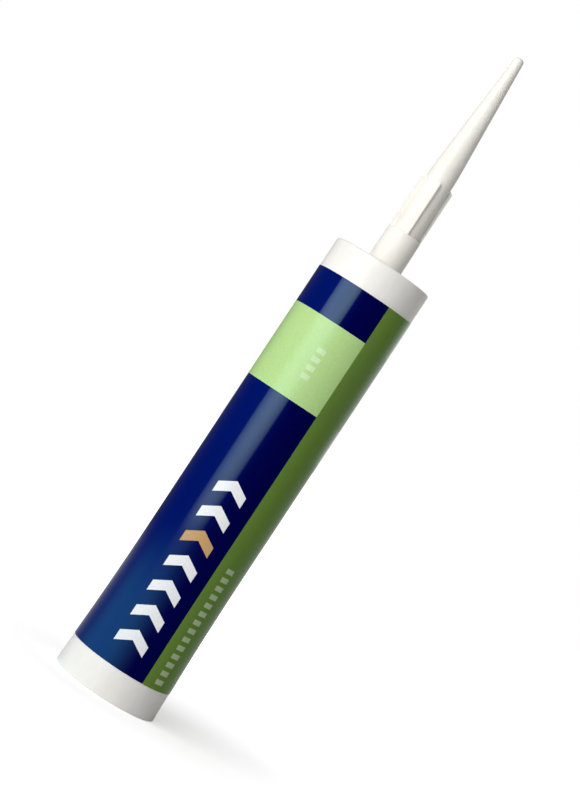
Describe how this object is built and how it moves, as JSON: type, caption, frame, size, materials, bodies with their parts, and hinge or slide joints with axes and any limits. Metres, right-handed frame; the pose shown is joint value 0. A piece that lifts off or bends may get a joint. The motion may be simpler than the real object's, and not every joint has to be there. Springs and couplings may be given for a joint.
{
  "type": "caulk tube",
  "caption": "Full caulk cartridge on its rear rim: sealed barrel with a spout, wrapped printed film, ribbed screw-on nozzle with uncut tip, paste and a plunger that slides up the bore.",
  "frame": {"origin": "centre of the rear rim, on the surface that the tube stands on", "axes": "+Z along the tube's axis to the nozzle's tip, -Y out of the front of the print"},
  "size_m": [0.0512, 0.0512, 0.3362],
  "materials": {
    "barrel_plastic": "satin white",
    "printed_film": "glossy print, mostly dark blue",
    "nozzle_plastic": "fine satin white",
    "plunger_plastic": "soft white",
    "paste": "wet white paste"
  },
  "bodies": {
    "tube": {"barrel": "barrel_plastic", "label": "printed_film", "sealant": "paste"},
    "plunger": {"plunger": "plunger_plastic"},
    "nozzle": {"nozzle": "nozzle_plastic"}
  },
  "joints": [
    {"name": "plunger_slide", "type": "slide", "parent": "tube", "child": "plunger", "axis": [0, 0, 1], "range_m": [0, 0.1895], "deforming": ["sealant"]},
    {"name": "nozzle_lift", "type": "slide", "parent": "tube", "child": "nozzle", "axis": [0, 0, 1], "range_m": [0, 0.03]}
  ]
}
